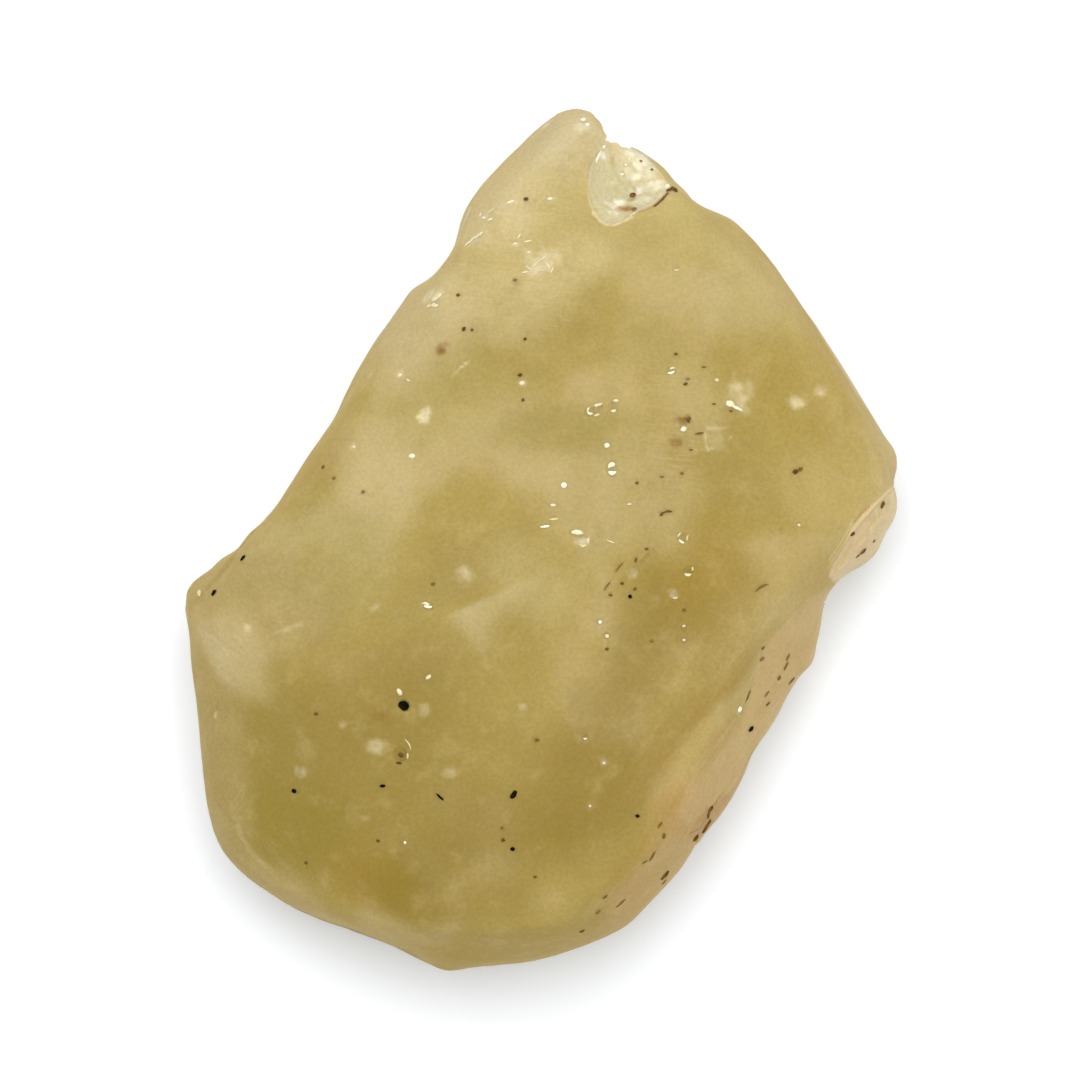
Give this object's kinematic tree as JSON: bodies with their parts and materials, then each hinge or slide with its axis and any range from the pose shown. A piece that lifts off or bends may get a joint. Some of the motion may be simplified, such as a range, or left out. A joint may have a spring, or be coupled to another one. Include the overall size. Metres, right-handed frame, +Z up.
{
  "type": "raw libyan desert glass",
  "caption": "Small raw lump of pale yellow natural glass with worn facets, a pointed horn, a fresh shell-shaped chip and a flat face that it lies on.",
  "frame": {"origin": "middle of the stone's footprint, on the surface that it lies on", "axes": "+Y along the lump towards its pointed horn, +Z up, away from the surface"},
  "size_m": [0.0298, 0.036, 0.0132],
  "materials": {
    "desert_glass": "sand-frosted, milky translucent pale yellow"
  },
  "bodies": {
    "root": {"desert_glass": "desert_glass"}
  },
  "joints": []
}
